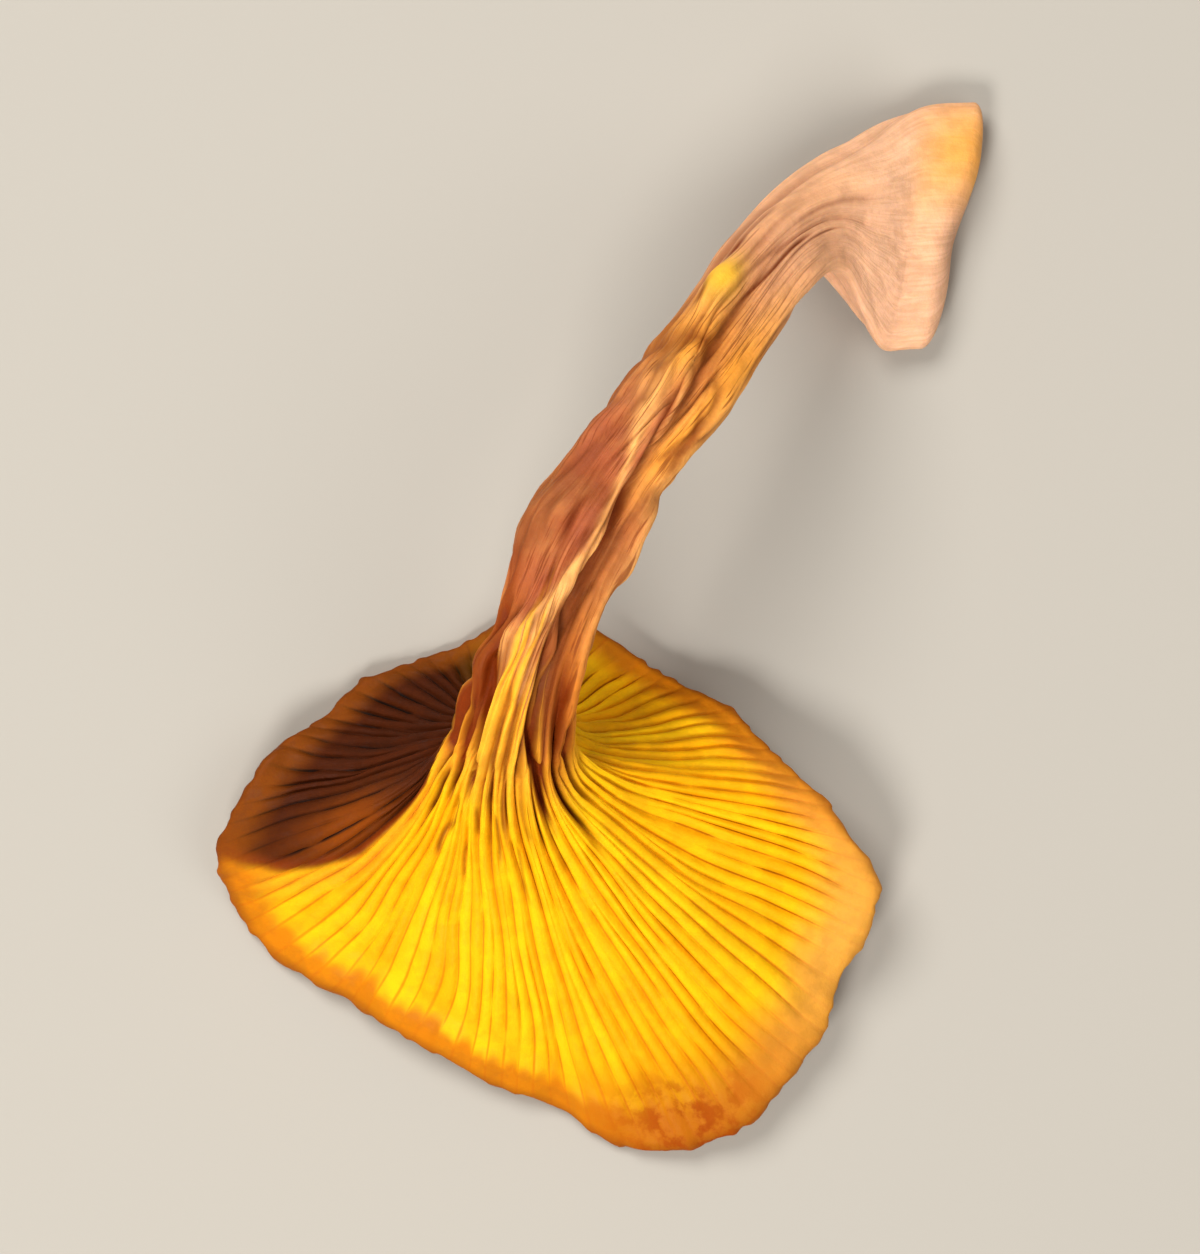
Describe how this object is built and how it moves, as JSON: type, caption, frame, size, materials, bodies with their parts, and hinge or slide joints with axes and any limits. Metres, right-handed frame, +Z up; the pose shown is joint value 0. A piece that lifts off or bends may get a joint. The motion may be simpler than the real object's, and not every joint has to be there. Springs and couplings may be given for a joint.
{
  "type": "dried chanterelle mushroom",
  "caption": "Dried chanterelle lying cap down: a forked-ridged funnel cap and an arched, folded stem ending in a flared foot.",
  "frame": {"origin": "on the ground under the middle of the mushroom's outline, lying cap down", "axes": "+Y along the mushroom's length, from cap to foot; +Z up; +X across the cap, to the side that the foot leans to"},
  "size_m": [0.0358, 0.0492, 0.015],
  "materials": {
    "dried_flesh": "matt, leathery dried flesh: egg-yellow ridges, red-brown folded stem, orange margin"
  },
  "bodies": {
    "root": {"chanterelle": "dried_flesh"}
  },
  "joints": []
}
